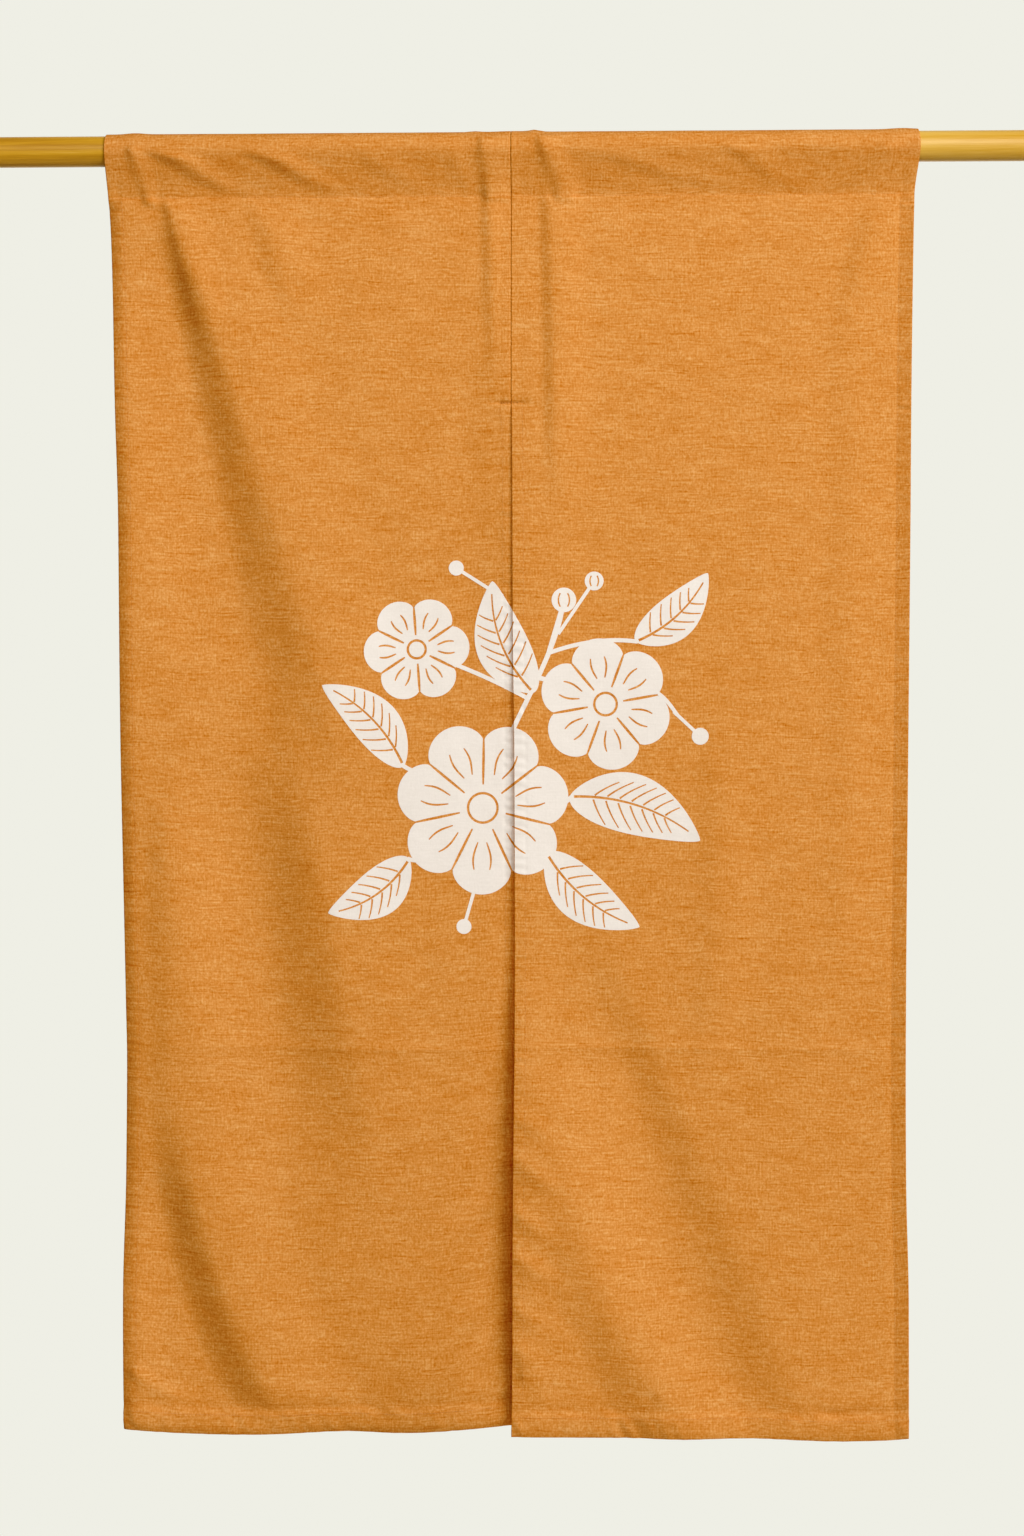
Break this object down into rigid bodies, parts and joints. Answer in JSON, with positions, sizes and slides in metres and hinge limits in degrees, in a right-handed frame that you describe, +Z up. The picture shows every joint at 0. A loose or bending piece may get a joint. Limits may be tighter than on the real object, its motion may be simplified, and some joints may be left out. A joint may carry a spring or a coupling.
{
  "type": "noren curtain on pole",
  "caption": "Split door curtain of linen-look cloth with a printed plant design, hung by its rod pocket on a round wooden pole.",
  "frame": {"origin": "middle of the pole's axis, which is also the middle of the curtain's width", "axes": "+Z up, +X along the pole to the viewer's right, +Y away from the viewer, so the printed front faces -Y"},
  "size_m": [1.2, 0.0377, 1.387],
  "materials": {
    "pole": "clear varnish, satin",
    "cloth": "plain weave with slubs, matt"
  },
  "bodies": {
    "root": {"pole": "pole", "panel_left": "cloth", "panel_right": "cloth"}
  },
  "joints": []
}
